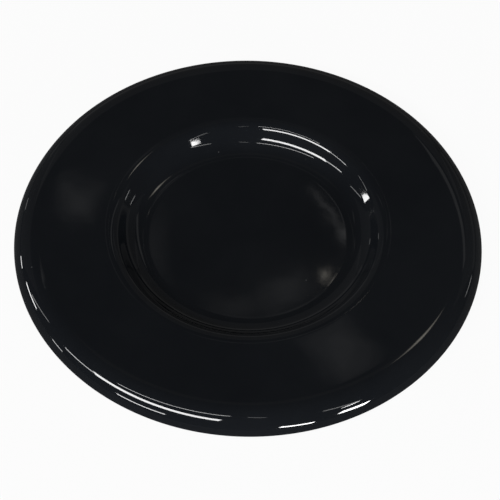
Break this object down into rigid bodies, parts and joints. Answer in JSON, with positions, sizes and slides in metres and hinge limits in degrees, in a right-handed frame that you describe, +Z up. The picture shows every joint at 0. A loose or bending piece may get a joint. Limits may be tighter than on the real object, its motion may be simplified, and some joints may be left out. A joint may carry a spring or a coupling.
{
  "type": "gas burner cap",
  "caption": "Round gas burner cap pressed from enamelled steel sheet, with a rolled-down rim, a flat ring and a shallow central dish, that sits loose on a burner crown over its flame ports.",
  "frame": {"origin": "centre of the flat underside of the dish, on the plane that the cap stands on when it is put down", "axes": "+Z up along the cap's axis of revolution, from the underside to the enamelled top; X and Y are any two square directions across the round cap"},
  "size_m": [0.1, 0.1, 0.0056],
  "materials": {
    "black_enamel": "gloss"
  },
  "bodies": {
    "root": {"burner_cap": "black_enamel"}
  },
  "joints": []
}
